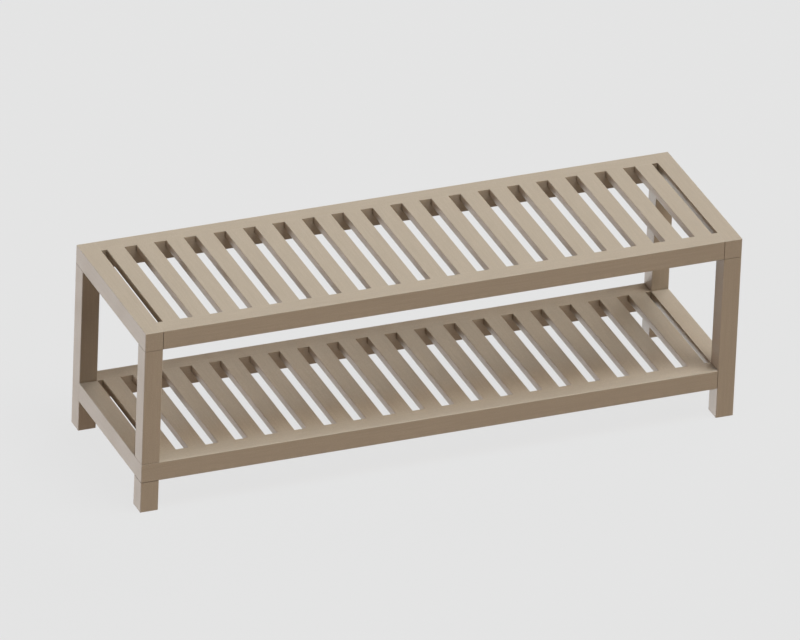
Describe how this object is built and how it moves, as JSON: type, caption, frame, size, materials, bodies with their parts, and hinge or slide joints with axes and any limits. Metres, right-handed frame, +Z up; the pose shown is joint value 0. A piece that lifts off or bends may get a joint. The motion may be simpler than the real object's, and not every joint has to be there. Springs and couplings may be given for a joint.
{
  "type": "entryway bench",
  "caption": "Long rectangular bench with a flush slatted seat on square legs and a matching slatted shelf below it for shoes, in satin taupe painted wood.",
  "frame": {"origin": "on the floor, under the middle of the bench", "axes": "+X along the bench to the right as seen from its front, +Y from its front to its back, +Z up"},
  "size_m": [1.524, 0.462, 0.483],
  "materials": {
    "painted_wood": "satin taupe paint over fine-grained wood, with softly bevelled edges",
    "raw_wood": "bare beech dowel, hidden inside the joints"
  },
  "bodies": {
    "root": {"leg_front_left": "painted_wood", "leg_front_right": "painted_wood", "leg_back_left": "painted_wood", "leg_back_right": "painted_wood", "seat_end_rail_left": "painted_wood", "seat_end_rail_right": "painted_wood", "seat_front_rail": "painted_wood", "seat_back_rail": "painted_wood", "seat_slat_01": "painted_wood", "seat_slat_02": "painted_wood", "seat_slat_03": "painted_wood", "seat_slat_04": "painted_wood", "seat_slat_05": "painted_wood", "seat_slat_06": "painted_wood", "seat_slat_07": "painted_wood", "seat_slat_08": "painted_wood", "seat_slat_09": "painted_wood", "seat_slat_10": "painted_wood", "seat_slat_11": "painted_wood", "seat_slat_12": "painted_wood", "seat_slat_13": "painted_wood", "seat_slat_14": "painted_wood", "seat_slat_15": "painted_wood", "seat_slat_16": "painted_wood", "seat_slat_17": "painted_wood", "seat_slat_18": "painted_wood", "seat_slat_19": "painted_wood", "shelf_end_rail_left": "painted_wood", "shelf_end_rail_right": "painted_wood", "shelf_front_rail": "painted_wood", "shelf_back_rail": "painted_wood", "shelf_slat_01": "painted_wood", "shelf_slat_02": "painted_wood", "shelf_slat_03": "painted_wood", "shelf_slat_04": "painted_wood", "shelf_slat_05": "painted_wood", "shelf_slat_06": "painted_wood", "shelf_slat_07": "painted_wood", "shelf_slat_08": "painted_wood", "shelf_slat_09": "painted_wood", "shelf_slat_10": "painted_wood", "shelf_slat_11": "painted_wood", "shelf_slat_12": "painted_wood", "shelf_slat_13": "painted_wood", "shelf_slat_14": "painted_wood", "shelf_slat_15": "painted_wood", "shelf_slat_16": "painted_wood", "shelf_slat_17": "painted_wood", "shelf_slat_18": "painted_wood", "shelf_slat_19": "painted_wood", "leg_top_dowels": "raw_wood", "seat_rail_dowels": "raw_wood", "shelf_long_rail_dowels": "raw_wood", "shelf_end_rail_dowels": "raw_wood"}
  },
  "joints": []
}
